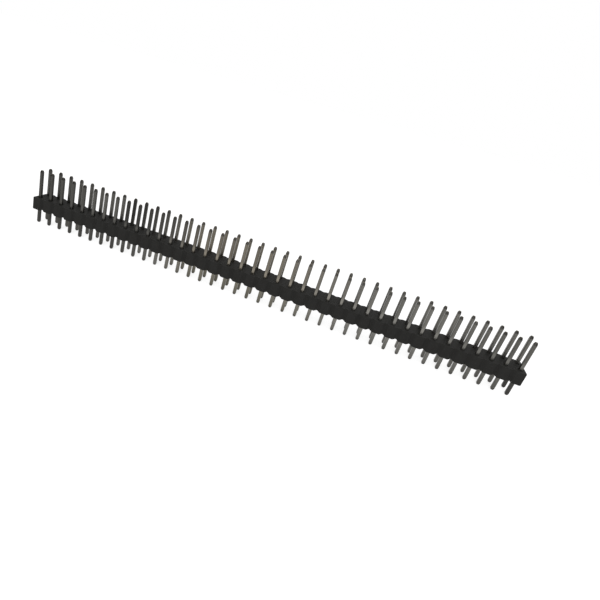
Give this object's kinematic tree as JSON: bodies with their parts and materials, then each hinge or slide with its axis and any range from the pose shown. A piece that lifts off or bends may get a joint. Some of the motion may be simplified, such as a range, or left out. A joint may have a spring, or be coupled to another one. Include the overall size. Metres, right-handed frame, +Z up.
{
  "type": "pin header strip",
  "caption": "Straight male pin header in two rows: square pins in a notched housing that snaps to length.",
  "frame": {"origin": "centre of the pin grid, in the plane where the housing sits on the circuit board", "axes": "+X along the strip, +Y across the two rows, +Z up along the pins from the board to the contact ends"},
  "size_m": [0.101, 0.0048, 0.0113],
  "materials": {
    "housing_plastic": "satin",
    "pin_plating": "satin"
  },
  "bodies": {
    "root": {"housing": "housing_plastic", "pin_pair_01": "pin_plating", "pin_pair_02": "pin_plating", "pin_pair_03": "pin_plating", "pin_pair_04": "pin_plating", "pin_pair_05": "pin_plating", "pin_pair_06": "pin_plating", "pin_pair_07": "pin_plating", "pin_pair_08": "pin_plating", "pin_pair_09": "pin_plating", "pin_pair_10": "pin_plating", "pin_pair_11": "pin_plating", "pin_pair_12": "pin_plating", "pin_pair_13": "pin_plating", "pin_pair_14": "pin_plating", "pin_pair_15": "pin_plating", "pin_pair_16": "pin_plating", "pin_pair_17": "pin_plating", "pin_pair_18": "pin_plating", "pin_pair_19": "pin_plating", "pin_pair_20": "pin_plating", "pin_pair_21": "pin_plating", "pin_pair_22": "pin_plating", "pin_pair_23": "pin_plating", "pin_pair_24": "pin_plating", "pin_pair_25": "pin_plating", "pin_pair_26": "pin_plating", "pin_pair_27": "pin_plating", "pin_pair_28": "pin_plating", "pin_pair_29": "pin_plating", "pin_pair_30": "pin_plating", "pin_pair_31": "pin_plating", "pin_pair_32": "pin_plating", "pin_pair_33": "pin_plating", "pin_pair_34": "pin_plating", "pin_pair_35": "pin_plating", "pin_pair_36": "pin_plating", "pin_pair_37": "pin_plating", "pin_pair_38": "pin_plating", "pin_pair_39": "pin_plating", "pin_pair_40": "pin_plating"}
  },
  "joints": []
}
